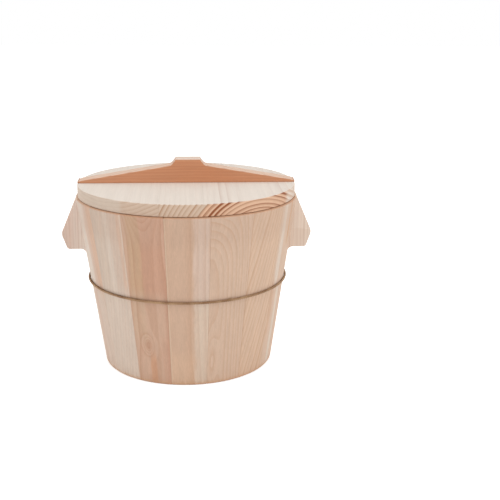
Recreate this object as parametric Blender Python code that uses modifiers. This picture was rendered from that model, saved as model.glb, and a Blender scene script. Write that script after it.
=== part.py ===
"""Wooden rice steamer bucket: sixteen tapered staves pinned edge to edge and held by one wire hoop, a
three-board lid with a carved batten handle, and a slatted steam grate that wedges in the tapered bore.

Units are metres. +Z is up, the bucket stands on z = 0, its axis is x = y = 0 and its two ears lie on X.
"""

import math

import bmesh
import bpy
from mathutils import Matrix, Vector

# Bucket wall
STAVE_COUNT = 16
BODY_HEIGHT = 0.165
RIM_RADIUS = 0.106
BASE_RADIUS = 0.0825
WALL = 0.012
SEAM_GAP = 0.0003
RIM_CHAMFER = 0.0012
FOOT_CHAMFER = 0.0012
FACETS_PER_STAVE = 6

# Ears carved on the two handle staves
EAR_TIP_HEIGHT = 0.1273
EAR_REACH = 0.0193
EAR_TIP_ROUND = 0.009
EAR_UNDERSIDE = 0.1138
EAR_TOE_REACH = 0.0156
EAR_TOE_ROUND = 0.003
EAR_COVE_RADIUS = 0.0055
EAR_HALF_WIDTH = 0.016
EAR_EDGE_ROUND = 0.0012
EAR_BELOW_RIM = 0.0008
EAR_ROOT_DEPTH = 0.005
EAR_SINK = 0.0014

# Bamboo pins in the stave seams
SEAM_PIN_RADIUS = 0.0015
SEAM_PIN_LENGTH = 0.014
SEAM_PIN_HEIGHT = 0.128
PIN_CLEARANCE = 0.0003
PIN_FACETS = 12

# Wire hoop
HOOP_HEIGHT = 0.0855
HOOP_WIRE_RADIUS = 0.00125
HOOP_SEAT_GAP = 0.0003
HOOP_FACETS = 96
HOOP_WIRE_FACETS = 8

# Lid boards
LID_RADIUS = 0.104
LID_EDGE_THICKNESS = 0.0112
LID_PLUG_DEPTH = 0.005
LID_PLUG_CLEARANCE = 0.001
LID_SEAT_GAP = 0.0003
LID_EDGE_ROUND = 0.0008
LID_FACETS = 96
LEFT_BOARD_SEAM = -0.0245
RIGHT_BOARD_SEAM = 0.0145
BOARD_PIN_OFFSET = 0.052
BOARD_PIN_RADIUS = 0.0015
BOARD_PIN_LENGTH = 0.014

# Sliding dovetail between the lid boards and the handle
GROOVE_MOUTH_WIDTH = 0.010
GROOVE_FLOOR_WIDTH = 0.012
GROOVE_DEPTH = 0.005
TONGUE_CLEARANCE = 0.0003
TONGUE_END_INSET = 0.0015

# Handle batten across the lid
BATTEN_WIDTH = 0.016
BATTEN_END_INSET = 0.0005
BATTEN_END_SLANT = 0.0008
BATTEN_SEAT_GAP = 0.0003
BATTEN_END_HEIGHT = 0.0023
BATTEN_NECK_HEIGHT = 0.0165
BATTEN_ARRIS = 0.0009
GRIP_HEIGHT = 0.0226
GRIP_HALF_LENGTH = 0.0116
GRIP_FOOT_LENGTH = 0.0066
STEP_STATIONS = 6

# Steam grate
GRATE_SEAT_HEIGHT = 0.024
GRATE_CLEARANCE = 0.0003
SLAT_COUNT = 5
SLAT_THICKNESS = 0.008
SLAT_GAP = 0.0035
BEARER_REACH = 0.0092
BEARER_WIDTH = 0.012
BEARER_HEIGHT = 0.008
BEARER_END_CLEARANCE = 0.002
GRATE_JOINT_GAP = 0.0003
PEG_RADIUS = 0.0015
PEG_EDGE_DISTANCE = 0.005
PEG_DEPTH_IN_BEARER = 0.005

# Colours
WOOD_TONES = {
    "pale": (0.62, 0.47, 0.35),
    "grey": (0.57, 0.46, 0.36),
    "tan": (0.56, 0.36, 0.24),
    "pink": (0.64, 0.44, 0.32),
}
STAVE_TONES = ("pale", "pink", "grey", "pink", "tan", "pale", "pink", "grey",
               "pink", "pale", "grey", "tan", "pink", "pink", "pale", "grey")

STAVE_ANGLE = math.tau / STAVE_COUNT
LID_UNDERSIDE = BODY_HEIGHT + LID_SEAT_GAP
LID_TOP = LID_UNDERSIDE + LID_EDGE_THICKNESS


def wall_radius(height):
    """Outer radius of the tapered wall at a height above the foot."""
    return BASE_RADIUS + (RIM_RADIUS - BASE_RADIUS) * height / BODY_HEIGHT


def bore_radius(height):
    """Inner radius of the tapered wall at a height above the foot."""
    return wall_radius(height) - WALL


def clear_scene():
    for obj in list(bpy.data.objects):
        bpy.data.objects.remove(obj)


def new_collection(name):
    collection = bpy.data.collections.new(name)
    bpy.context.scene.collection.children.link(collection)
    return collection


def make_material(name, colour, roughness=0.6, metallic=0.0):
    material = bpy.data.materials.new(name)
    material.use_nodes = True
    shader = material.node_tree.nodes["Principled BSDF"]
    shader.inputs["Base Color"].default_value = (*colour, 1.0)
    shader.inputs["Roughness"].default_value = roughness
    shader.inputs["Metallic"].default_value = metallic
    return material


def finish_mesh(bm, name):
    bmesh.ops.recalc_face_normals(bm, faces=bm.faces)
    mesh = bpy.data.meshes.new(name)
    bm.to_mesh(mesh)
    bm.free()
    return mesh


def place(name, mesh, collection, material=None, parent=None):
    """A new object for this mesh, with round faces shaded smooth."""
    obj = bpy.data.objects.new(name, mesh)
    collection.objects.link(obj)
    if material:
        mesh.materials.clear()
        mesh.materials.append(material)
        mesh.shade_smooth()
        mesh.set_sharp_from_angle(angle=math.radians(30))
    obj.parent = parent
    return obj


def as_cutter(name, mesh):
    """A hidden helper that cuts or joins another piece."""
    obj = place(name, mesh, bpy.data.collections["cutters"])
    obj.hide_render = True
    obj.display_type = "WIRE"
    return obj


def combine(obj, tool, operation):
    modifier = obj.modifiers.new(tool.name, "BOOLEAN")
    modifier.operation = operation
    modifier.object = tool
    modifier.solver = "EXACT"


def applied_mesh(obj):
    """The object's mesh with its modifiers applied."""
    bpy.context.view_layer.update()
    graph = bpy.context.evaluated_depsgraph_get()
    mesh = bpy.data.meshes.new_from_object(obj.evaluated_get(graph))
    obj.modifiers.clear()
    return mesh


def box_mesh(name, low, high):
    bm = bmesh.new()
    bmesh.ops.create_cube(bm, size=1.0)
    size = Vector(high) - Vector(low)
    middle = (Vector(high) + Vector(low)) / 2
    bmesh.ops.transform(bm, matrix=Matrix.Translation(middle) @ Matrix.Diagonal((*size, 1.0)), verts=bm.verts)
    return finish_mesh(bm, name)


def rod_mesh(name, start, end, radius, end_radius=None, facets=PIN_FACETS):
    """A round rod or cone frustum from start to end."""
    start = Vector(start)
    along = Vector(end) - start
    bm = bmesh.new()
    bmesh.ops.create_cone(
        bm, cap_ends=True, segments=facets, radius1=radius,
        radius2=radius if end_radius is None else end_radius, depth=along.length,
    )
    turn = along.to_track_quat("Z", "Y").to_matrix().to_4x4()
    bmesh.ops.transform(bm, matrix=Matrix.Translation(start + along / 2) @ turn, verts=bm.verts)
    return finish_mesh(bm, name)


def rounded_outline(corners, steps=4):
    """Points of a closed outline whose corners (x, z, radius) are rounded by arcs."""
    points = []
    for i, (x, z, radius) in enumerate(corners):
        here = Vector((x, z))
        if radius <= 0:
            points.append(here)
            continue
        back = (Vector(corners[i - 1][:2]) - here).normalized()
        ahead = (Vector(corners[(i + 1) % len(corners)][:2]) - here).normalized()
        half_angle = back.angle(ahead) / 2
        centre = here + (back + ahead).normalized() * radius / math.sin(half_angle)
        first = here + back * radius / math.tan(half_angle) - centre
        last = here + ahead * radius / math.tan(half_angle) - centre
        sweep = first.angle_signed(last)
        for k in range(steps + 1):
            points.append(centre + Matrix.Rotation(-sweep * k / steps, 2) @ first)
    return points


def outline_mesh(name, points, half_width):
    """A flat outline in the XZ plane, thickened to both sides along Y."""
    curve = bpy.data.curves.new(name, "CURVE")
    curve.dimensions = "2D"
    curve.fill_mode = "BOTH"
    curve.extrude = half_width
    spline = curve.splines.new("POLY")
    spline.points.add(len(points) - 1)
    for slot, point in zip(spline.points, points):
        slot.co = (point[0], point[1], 0.0, 1.0)
    spline.use_cyclic_u = True
    holder = place(name, curve, bpy.data.collections["cutters"])
    mesh = applied_mesh(holder)
    bpy.data.objects.remove(holder)
    bm = bmesh.new()
    bm.from_mesh(mesh)
    bmesh.ops.remove_doubles(bm, verts=bm.verts, dist=1e-6)
    bmesh.ops.dissolve_limit(bm, angle_limit=math.radians(0.5), verts=bm.verts, edges=bm.edges)
    bmesh.ops.rotate(bm, matrix=Matrix.Rotation(math.radians(90), 3, "X"), verts=bm.verts)
    return finish_mesh(bm, name)


def sector_mesh(name, profile, angle, steps):
    """A closed (radius, z) profile swept round Z through an angle centred on +X, with flat ends."""
    bm = bmesh.new()
    start = Matrix.Rotation(-angle / 2, 3, "Z")
    verts = [bm.verts.new(start @ Vector((r, 0.0, z))) for r, z in profile]
    edges = [bm.edges.new((verts[i - 1], verts[i])) for i in range(len(verts))]
    bmesh.ops.spin(bm, geom=verts + edges, cent=(0, 0, 0), axis=(0, 0, 1), dvec=(0, 0, 0), angle=angle, steps=steps)
    ends = [edge for edge in bm.edges if len(edge.link_faces) == 1]
    bmesh.ops.holes_fill(bm, edges=ends, sides=0)
    return finish_mesh(bm, name)


def stave_profile():
    """Cross-section of the wall, as (radius, z) from the foot's outer edge anticlockwise."""
    slope = (RIM_RADIUS - BASE_RADIUS) / BODY_HEIGHT
    return [
        (BASE_RADIUS - FOOT_CHAMFER, 0.0),
        (BASE_RADIUS + slope * FOOT_CHAMFER, FOOT_CHAMFER),
        (RIM_RADIUS - slope * RIM_CHAMFER, BODY_HEIGHT - RIM_CHAMFER),
        (RIM_RADIUS - RIM_CHAMFER, BODY_HEIGHT),
        (RIM_RADIUS - WALL + RIM_CHAMFER, BODY_HEIGHT),
        (RIM_RADIUS - WALL - slope * RIM_CHAMFER, BODY_HEIGHT - RIM_CHAMFER),
        (BASE_RADIUS - WALL + slope * FOOT_CHAMFER, FOOT_CHAMFER),
        (BASE_RADIUS - WALL + FOOT_CHAMFER, 0.0),
    ]


def seam_pin_ends(angle, length):
    """Ends of a pin laid square across the seam plane at an angle round the bucket."""
    radius = wall_radius(SEAM_PIN_HEIGHT) - WALL / 2
    centre = Vector((radius * math.cos(angle), radius * math.sin(angle), SEAM_PIN_HEIGHT))
    tangent = Vector((-math.sin(angle), math.cos(angle), 0.0))
    return centre - tangent * length / 2, centre + tangent * length / 2


def plain_stave_mesh():
    """One wall stave, with a blind pin hole in each edge."""
    angle = STAVE_ANGLE - SEAM_GAP / RIM_RADIUS
    blank = as_cutter("stave_blank", sector_mesh("stave_blank", stave_profile(), angle, FACETS_PER_STAVE))
    for side in (-1, 1):
        ends = seam_pin_ends(side * STAVE_ANGLE / 2, SEAM_PIN_LENGTH + 2 * PIN_CLEARANCE)
        hole = rod_mesh("seam_pin_hole", *ends, SEAM_PIN_RADIUS + PIN_CLEARANCE)
        combine(blank, as_cutter("seam_pin_hole", hole), "DIFFERENCE")
    return applied_mesh(blank)


def ear_mesh():
    """The ear of a handle stave: a sloping top, a round tip and a flat underside with a cove to the wall."""
    top = BODY_HEIGHT - EAR_BELOW_RIM
    cove_foot = EAR_UNDERSIDE - 2 * EAR_COVE_RADIUS
    corners = [
        (wall_radius(top) - EAR_ROOT_DEPTH, top, 0.0),
        (wall_radius(top) - EAR_BELOW_RIM, top, 0.0),
        (wall_radius(EAR_TIP_HEIGHT) + EAR_REACH, EAR_TIP_HEIGHT, EAR_TIP_ROUND),
        (wall_radius(EAR_UNDERSIDE) + EAR_TOE_REACH, EAR_UNDERSIDE, EAR_TOE_ROUND),
        (wall_radius(EAR_UNDERSIDE) - EAR_SINK, EAR_UNDERSIDE, EAR_COVE_RADIUS),
        (wall_radius(cove_foot) - EAR_SINK, cove_foot, 0.0),
        (wall_radius(cove_foot) - EAR_ROOT_DEPTH, cove_foot, 0.0),
    ]
    ear = as_cutter("ear_blank", outline_mesh("ear_blank", rounded_outline(corners), EAR_HALF_WIDTH))
    bevel = ear.modifiers.new("edge_round", "BEVEL")
    bevel.width = EAR_EDGE_ROUND
    bevel.segments = 2
    bevel.limit_method = "ANGLE"
    bevel.angle_limit = math.radians(50)
    return applied_mesh(ear)


def handle_stave_mesh(plain):
    """A wall stave with an ear left standing on its outer face."""
    stave = as_cutter("handle_stave_blank", plain.copy())
    combine(stave, as_cutter("ear", ear_mesh()), "UNION")
    return applied_mesh(stave)


def build_bucket(parts, materials, root):
    plain = plain_stave_mesh()
    with_ear = handle_stave_mesh(plain)
    left_index = STAVE_COUNT // 2
    for index in range(STAVE_COUNT):
        ears = {0: "handle_stave_right", left_index: "handle_stave_left"}
        number = index if index < left_index else index - 1
        name = ears.get(index, f"stave_{number:02d}")
        mesh = (with_ear if index in ears else plain).copy()
        tone = STAVE_TONES[index % len(STAVE_TONES)]
        stave = place(name, mesh, parts, materials[tone], root)
        stave.rotation_euler.z = index * STAVE_ANGLE
    for index in range(STAVE_COUNT):
        ends = seam_pin_ends((index + 0.5) * STAVE_ANGLE, SEAM_PIN_LENGTH)
        pin = rod_mesh("seam_pin", *ends, SEAM_PIN_RADIUS)
        place(f"seam_pin_{index + 1:02d}", pin, parts, materials["bamboo"], root)


def build_hoop(parts, materials, root):
    """The wire hoop, drawn up against the taper just below mid height."""
    taper = math.atan2(RIM_RADIUS - BASE_RADIUS, BODY_HEIGHT)
    centre_radius = wall_radius(HOOP_HEIGHT) + (HOOP_WIRE_RADIUS + HOOP_SEAT_GAP) / math.cos(taper)
    bpy.ops.mesh.primitive_torus_add(
        major_radius=centre_radius, minor_radius=HOOP_WIRE_RADIUS,
        major_segments=HOOP_FACETS, minor_segments=HOOP_WIRE_FACETS, location=(0, 0, HOOP_HEIGHT),
    )
    hoop = bpy.context.object
    hoop.name = "hoop_wire"
    for collection in hoop.users_collection:
        collection.objects.unlink(hoop)
    parts.objects.link(hoop)
    hoop.data.materials.append(materials["wire"])
    hoop.data.shade_smooth()
    hoop.parent = root


def lid_blank():
    """The round lid before it is divided into boards, with the plug that drops into the mouth."""
    plug_bottom = LID_UNDERSIDE - LID_PLUG_DEPTH
    plug_radius = bore_radius(plug_bottom) - LID_PLUG_CLEARANCE
    profile = [
        (0.0, LID_TOP),
        (LID_RADIUS - LID_EDGE_ROUND, LID_TOP),
        (LID_RADIUS, LID_TOP - LID_EDGE_ROUND),
        (LID_RADIUS, LID_UNDERSIDE + LID_EDGE_ROUND),
        (LID_RADIUS - LID_EDGE_ROUND, LID_UNDERSIDE),
        (plug_radius, LID_UNDERSIDE),
        (plug_radius, plug_bottom),
        (0.0, plug_bottom),
    ]
    bm = bmesh.new()
    verts = [bm.verts.new((r, 0.0, z)) for r, z in profile]
    for first, second in zip(verts, verts[1:]):
        bm.edges.new((first, second))
    mesh = bpy.data.meshes.new("lid_blank")
    bm.to_mesh(mesh)
    bm.free()
    blank = as_cutter("lid_blank", mesh)
    screw = blank.modifiers.new("turned", "SCREW")
    screw.steps = LID_FACETS
    screw.render_steps = LID_FACETS
    screw.use_merge_vertices = True
    screw.merge_threshold = 0.00001
    turned = applied_mesh(blank)
    bm = bmesh.new()
    bm.from_mesh(turned)
    return finish_mesh(bm, "lid_blank")


def dovetail_outline(clearance, depth):
    """Cross-section (y, z) of the dovetail below the lid's top, drawn in by a clearance on each flank."""
    mouth = GROOVE_MOUTH_WIDTH / 2 - clearance
    floor = GROOVE_FLOOR_WIDTH / 2 - clearance
    above = 0.002
    flare = (floor - mouth) / GROOVE_DEPTH
    return [
        (-mouth + flare * above, LID_TOP + above),
        (-mouth - flare * depth, LID_TOP - depth),
        (mouth + flare * depth, LID_TOP - depth),
        (mouth - flare * above, LID_TOP + above),
    ]


def dovetail_mesh(name, clearance, depth, half_length):
    """A dovetail prism along X."""
    mesh = outline_mesh(name, dovetail_outline(clearance, depth), half_length)
    mesh.transform(Matrix.Rotation(math.radians(90), 4, "Z"))
    return mesh


def board_pin_ends(seam, side, length):
    height = LID_UNDERSIDE + (LID_EDGE_THICKNESS - GROOVE_DEPTH) / 2
    y = side * BOARD_PIN_OFFSET
    return (seam - length / 2, y, height), (seam + length / 2, y, height)


def build_lid(parts, materials, root):
    beyond = 2 * LID_RADIUS
    groove = as_cutter("groove", dovetail_mesh("groove", 0.0, GROOVE_DEPTH, beyond))
    seams = (LEFT_BOARD_SEAM, RIGHT_BOARD_SEAM)
    holes = []
    for seam in seams:
        for side in (-1, 1):
            ends = board_pin_ends(seam, side, BOARD_PIN_LENGTH + 2 * PIN_CLEARANCE)
            hole = rod_mesh("board_pin_hole", *ends, BOARD_PIN_RADIUS + PIN_CLEARANCE)
            holes.append((seam, as_cutter("board_pin_hole", hole)))
    edges = (-beyond, *seams, beyond)
    blank = lid_blank()
    for index, name in enumerate(("lid_board_left", "lid_board_middle", "lid_board_right")):
        low, high = edges[index] + SEAM_GAP / 2, edges[index + 1] - SEAM_GAP / 2
        board = as_cutter("board_blank", blank.copy())
        slab = box_mesh("board_slab", (low, -beyond, 0.0), (high, beyond, LID_TOP + beyond))
        combine(board, as_cutter("board_slab", slab), "INTERSECT")
        combine(board, groove, "DIFFERENCE")
        for seam, hole in holes:
            if seam in (edges[index], edges[index + 1]):
                combine(board, hole, "DIFFERENCE")
        place(name, applied_mesh(board), parts, materials["lid"], root)
    for label, seam in zip(("left", "right"), seams):
        for row, side in (("front", -1), ("back", 1)):
            pin = rod_mesh("board_pin", *board_pin_ends(seam, side, BOARD_PIN_LENGTH), BOARD_PIN_RADIUS)
            place(f"board_pin_{label}_{row}", pin, parts, materials["bamboo"], root)


def batten_half_stations():
    """(x, height) along the batten's top, from its end up the straight arm and the step to its grip."""
    end = LID_RADIUS - BATTEN_END_INSET
    foot = GRIP_HALF_LENGTH + GRIP_FOOT_LENGTH
    stations = [(end, BATTEN_END_HEIGHT)]
    for k in range(STEP_STATIONS + 1):
        t = k / STEP_STATIONS
        rise = (1 - math.cos(math.pi * t)) / 2
        height = BATTEN_NECK_HEIGHT + (GRIP_HEIGHT - BATTEN_NECK_HEIGHT) * rise
        stations.append((foot - GRIP_FOOT_LENGTH * t, height))
    return stations


def batten_loft():
    """The batten above the lid: straight arms that rise to a stepped grip, lofted along X."""
    half = BATTEN_WIDTH / 2
    base = LID_TOP + BATTEN_SEAT_GAP
    right = batten_half_stations()
    stations = [(-x, height) for x, height in right] + right[::-1]
    bm = bmesh.new()
    rings = []
    for i, (x, height) in enumerate(stations):
        slant = BATTEN_END_SLANT if i in (0, len(stations) - 1) else 0.0
        upper_x = x - math.copysign(slant, x)
        crown = LID_TOP + height
        rings.append([
            bm.verts.new((x, -half, base)),
            bm.verts.new((upper_x, -half, crown - BATTEN_ARRIS)),
            bm.verts.new((upper_x, -half + BATTEN_ARRIS, crown)),
            bm.verts.new((upper_x, half - BATTEN_ARRIS, crown)),
            bm.verts.new((upper_x, half, crown - BATTEN_ARRIS)),
            bm.verts.new((x, half, base)),
        ])
    for ring, following in zip(rings, rings[1:]):
        for j in range(len(ring)):
            bm.faces.new((ring[j - 1], ring[j], following[j], following[j - 1]))
    bm.faces.new(rings[0])
    bm.faces.new(rings[-1][::-1])
    return finish_mesh(bm, "batten_loft")


def build_batten(parts, materials, root):
    tongue_depth = GROOVE_DEPTH - TONGUE_CLEARANCE
    tongue = dovetail_mesh("tongue", TONGUE_CLEARANCE, tongue_depth, LID_RADIUS - TONGUE_END_INSET)
    blank = as_cutter("batten_blank", batten_loft())
    combine(blank, as_cutter("tongue", tongue), "UNION")
    place("lid_handle_batten", applied_mesh(blank), parts, materials["batten"], root)


def grate_radius(height):
    return bore_radius(height) - GRATE_CLEARANCE


def slat_places():
    """(low y, high y) of each slat, from front to back."""
    reach = grate_radius(GRATE_SEAT_HEIGHT)
    width = (2 * reach - (SLAT_COUNT - 1) * SLAT_GAP) / SLAT_COUNT
    return [(-reach + k * (width + SLAT_GAP), -reach + k * (width + SLAT_GAP) + width) for k in range(SLAT_COUNT)]


def bearer_half_length():
    """Half length of a bearer that reaches a set way under the outermost slats."""
    return slat_places()[-1][0] + BEARER_REACH


def bearer_offset():
    """Distance of a bearer from the middle, as far out as its lower corners stay clear of the bore."""
    underside = GRATE_SEAT_HEIGHT - GRATE_JOINT_GAP - BEARER_HEIGHT
    corner_y = bearer_half_length() + BEARER_END_CLEARANCE
    return math.sqrt(grate_radius(underside) ** 2 - corner_y ** 2) - BEARER_WIDTH / 2


def peg_places():
    """(x, y) of each peg: one where each slat crosses each bearer."""
    reach = bearer_half_length() - PEG_EDGE_DISTANCE
    places = []
    for x in (-bearer_offset(), bearer_offset()):
        for low, high in slat_places():
            middle = (low + high) / 2
            places.append((x, max(-reach, min(reach, middle))))
    return places


def build_grate(parts, materials, root):
    top = GRATE_SEAT_HEIGHT + SLAT_THICKNESS
    bearer_top = GRATE_SEAT_HEIGHT - GRATE_JOINT_GAP
    beyond = 0.001
    cone = rod_mesh(
        "grate_cone", (0, 0, GRATE_SEAT_HEIGHT - beyond), (0, 0, top + beyond),
        grate_radius(GRATE_SEAT_HEIGHT - beyond), grate_radius(top + beyond), facets=LID_FACETS,
    )
    cone_cutter = as_cutter("grate_cone", cone)
    hole_radius = PEG_RADIUS + PIN_CLEARANCE
    hole_bottom = bearer_top - PEG_DEPTH_IN_BEARER - PIN_CLEARANCE
    holes = []
    for x, y in peg_places():
        hole = rod_mesh("peg_hole", (x, y, hole_bottom), (x, y, top + beyond), hole_radius)
        holes.append((x, y, as_cutter("peg_hole", hole)))
    reach = 2 * grate_radius(top)
    for number, (low, high) in enumerate(slat_places(), start=1):
        slat = as_cutter("slat_blank", box_mesh("slat", (-reach, low, GRATE_SEAT_HEIGHT), (reach, high, top)))
        combine(slat, cone_cutter, "INTERSECT")
        for x, y, hole in holes:
            if low < y < high:
                combine(slat, hole, "DIFFERENCE")
        place(f"grate_slat_{number}", applied_mesh(slat), parts, materials["grate"], root)
    half = bearer_half_length()
    for label, x in (("left", -bearer_offset()), ("right", bearer_offset())):
        low = (x - BEARER_WIDTH / 2, -half, bearer_top - BEARER_HEIGHT)
        high = (x + BEARER_WIDTH / 2, half, bearer_top)
        bearer = as_cutter("bearer_blank", box_mesh("bearer", low, high))
        for hole_x, _, hole in holes:
            if hole_x == x:
                combine(bearer, hole, "DIFFERENCE")
        place(f"grate_bearer_{label}", applied_mesh(bearer), parts, materials["grate"], root)
    for number, (x, y) in enumerate(peg_places(), start=1):
        peg = rod_mesh("peg", (x, y, bearer_top - PEG_DEPTH_IN_BEARER), (x, y, top), PEG_RADIUS)
        place(f"grate_peg_{number:02d}", peg, parts, materials["bamboo"], root)


def new_empty(name, collection):
    empty = bpy.data.objects.new(name, None)
    collection.objects.link(empty)
    return empty


def main():
    clear_scene()
    parts = new_collection("rice_steamer_bucket")
    new_collection("cutters")
    materials = {tone: make_material(f"stave_{tone}", colour) for tone, colour in WOOD_TONES.items()}
    materials["lid"] = make_material("lid_wood", (0.72, 0.58, 0.46))
    materials["batten"] = make_material("batten_wood", (0.56, 0.29, 0.15))
    materials["grate"] = make_material("grate_wood", (0.66, 0.50, 0.36))
    materials["bamboo"] = make_material("bamboo", (0.62, 0.50, 0.28), 0.5)
    materials["wire"] = make_material("hoop_wire", (0.32, 0.19, 0.09), 0.4, 1.0)
    bucket = new_empty("bucket", parts)
    lid = new_empty("lid", parts)
    grate = new_empty("steam_grate", parts)
    build_bucket(parts, materials, bucket)
    build_hoop(parts, materials, bucket)
    build_lid(parts, materials, lid)
    build_batten(parts, materials, lid)
    build_grate(parts, materials, grate)
    for helper in list(bpy.data.collections["cutters"].objects):
        bpy.data.objects.remove(helper)


main()
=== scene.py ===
"""Looks of the wooden rice steamer bucket: pale softwood with its growth rings, and a twisted wire hoop.

Sizes are in metres for shapes and in millimetres inside the wood, whose rings are cut from one solid pattern:
a board's own axes are x through it, y across it and z along its grain.
"""

import math
import random

import bmesh
import bpy
from mathutils import Matrix, Vector


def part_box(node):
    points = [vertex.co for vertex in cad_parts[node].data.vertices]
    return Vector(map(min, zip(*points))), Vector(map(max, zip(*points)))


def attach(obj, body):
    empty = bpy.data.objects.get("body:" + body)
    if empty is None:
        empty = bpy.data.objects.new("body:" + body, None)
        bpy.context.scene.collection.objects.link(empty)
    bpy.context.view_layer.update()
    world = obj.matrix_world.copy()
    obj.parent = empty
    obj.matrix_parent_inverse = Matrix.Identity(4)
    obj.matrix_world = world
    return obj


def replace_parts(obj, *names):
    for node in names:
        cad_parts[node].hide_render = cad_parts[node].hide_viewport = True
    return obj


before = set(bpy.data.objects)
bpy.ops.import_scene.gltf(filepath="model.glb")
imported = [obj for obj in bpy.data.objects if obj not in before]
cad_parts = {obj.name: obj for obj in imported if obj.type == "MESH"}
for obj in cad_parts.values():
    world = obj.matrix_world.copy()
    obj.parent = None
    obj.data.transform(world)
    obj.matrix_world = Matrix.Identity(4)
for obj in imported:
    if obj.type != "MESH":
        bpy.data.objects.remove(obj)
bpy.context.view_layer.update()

# Camera, fitted to the photograph: turned to the right, tipped down and rolled
IMAGE_SIZE = 500
SENSOR_WIDTH = 36.0
FOCAL_PIXELS = 902.8
CAMERA_PLACE = (0.0, -0.8583, 0.3466)
CAMERA_YAW = math.radians(4.10)
CAMERA_PITCH = math.radians(15.58)
CAMERA_ROLL = math.radians(0.39)

# Bucket wall
STAVE_COUNT = 16
STAVE_ANGLE = math.tau / STAVE_COUNT
BODY_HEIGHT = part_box("stave_11")[1].z
RIM_RADIUS = 0.106
BASE_RADIUS = 0.0825
WALL = 0.012
SEAM_GAP = 0.00008
SEAM_EASE = 0.00013
SEAM_EASE_WIDTH = 0.0006
RIM_ROUND = 0.0015

# Ears
EAR_TIP_HEIGHT = 0.1296
EAR_REACH = 0.0189
EAR_TIP_ROUND = 0.009
EAR_UNDERSIDE = 0.1143
EAR_TOE_REACH = 0.0156
EAR_TOE_ROUND = 0.003
EAR_COVE_RADIUS = 0.0055
EAR_HALF_WIDTH = 0.016
EAR_EDGE_ROUND = 0.0011
EAR_BELOW_RIM = 0.0008
EAR_ROOT_DEPTH = 0.005
EAR_SINK = 0.0014

# Hoop
HOOP_HEIGHT = 0.0848
CABLE_RADIUS = 0.0012
STRAND_COUNT = 3
STRAND_TWISTS = 96
STRAND_STEPS_PER_TWIST = 12
TAIL_ANGLE = math.radians(-69)
TAIL_LENGTH = 0.006

# Lid
LID_RADIUS = 0.104
LID_THICKNESS = 0.0112
LID_UNDERSIDE = BODY_HEIGHT + 0.0003
LID_TOP = LID_UNDERSIDE + LID_THICKNESS
LID_PLUG_DEPTH = 0.005
LID_PLUG_CLEARANCE = 0.001
LID_EDGE_ROUND = 0.0012
LID_LOWER_EDGE_ROUND = 0.0007
LID_SEAM_GAP = 0.00006
LEFT_BOARD_SEAM = -0.0245
RIGHT_BOARD_SEAM = 0.0145

# Dovetail
GROOVE_MOUTH_WIDTH = 0.010
GROOVE_FLOOR_WIDTH = 0.012
GROOVE_DEPTH = 0.005
TONGUE_CLEARANCE = 0.0002
TONGUE_END_INSET = 0.0015

# Handle batten
BATTEN_WIDTH = 0.016
BATTEN_END = LID_RADIUS - 0.0005
BATTEN_SEAT_GAP = 0.0002
BATTEN_END_HEIGHT = 0.0023
BATTEN_NECK_HEIGHT = 0.0165
BATTEN_ARRIS = 0.0010
BATTEN_END_ROUND = 0.0006
GRIP_HEIGHT = 0.0226
GRIP_HALF_LENGTH = 0.0116
GRIP_FOOT_LENGTH = 0.0066
GRIP_SHIFT = 0.0012

GRATE_EDGE_ROUND = 0.0006


def wall_radius(height):
    return BASE_RADIUS + (RIM_RADIUS - BASE_RADIUS) * height / BODY_HEIGHT


# Mesh helpers


def mesh_from(bm, name):
    bmesh.ops.recalc_face_normals(bm, faces=bm.faces)
    mesh = bpy.data.meshes.new(name)
    bm.to_mesh(mesh)
    bm.free()
    return mesh


def add_object(name, data):
    obj = bpy.data.objects.new(name, data)
    bpy.context.scene.collection.objects.link(obj)
    return obj


def shade(mesh, angle=32):
    mesh.shade_smooth()
    mesh.set_sharp_from_angle(angle=math.radians(angle))


def applied_mesh(obj):
    """The object's mesh with its modifiers applied; the object itself goes."""
    bpy.context.view_layer.update()
    graph = bpy.context.evaluated_depsgraph_get()
    mesh = bpy.data.meshes.new_from_object(obj.evaluated_get(graph))
    bpy.data.objects.remove(obj)
    return mesh


def combined(mesh, tool_mesh, operation):
    """The mesh joined with, or cut by, another."""
    obj = add_object("work", mesh)
    tool = add_object("tool", tool_mesh)
    modifier = obj.modifiers.new("combine", "BOOLEAN")
    modifier.operation = operation
    modifier.object = tool
    modifier.solver = "EXACT"
    result = applied_mesh(obj)
    bpy.data.objects.remove(tool)
    return result


def loft(name, rings):
    """A closed mesh through rings of equally many points."""
    bm = bmesh.new()
    rows = [[bm.verts.new(point) for point in ring] for ring in rings]
    for row, following in zip(rows, rows[1:]):
        for j in range(len(row)):
            bm.faces.new((row[j - 1], row[j], following[j], following[j - 1]))
    bm.faces.new(rows[0])
    bm.faces.new(rows[-1][::-1])
    return mesh_from(bm, name)


def rounded_outline(corners, steps):
    """Points of a closed outline whose corners (x, y, radius) are rounded by arcs."""
    points = []
    for i, (x, y, radius) in enumerate(corners):
        here = Vector((x, y))
        if radius <= 0:
            points.append(here)
            continue
        back = (Vector(corners[i - 1][:2]) - here).normalized()
        ahead = (Vector(corners[(i + 1) % len(corners)][:2]) - here).normalized()
        half_angle = back.angle(ahead) / 2
        centre = here + (back + ahead).normalized() * radius / math.sin(half_angle)
        first = here + back * radius / math.tan(half_angle) - centre
        last = here + ahead * radius / math.tan(half_angle) - centre
        sweep = first.angle_signed(last)
        for k in range(steps + 1):
            points.append(centre + Matrix.Rotation(-sweep * k / steps, 2) @ first)
    return points


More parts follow.
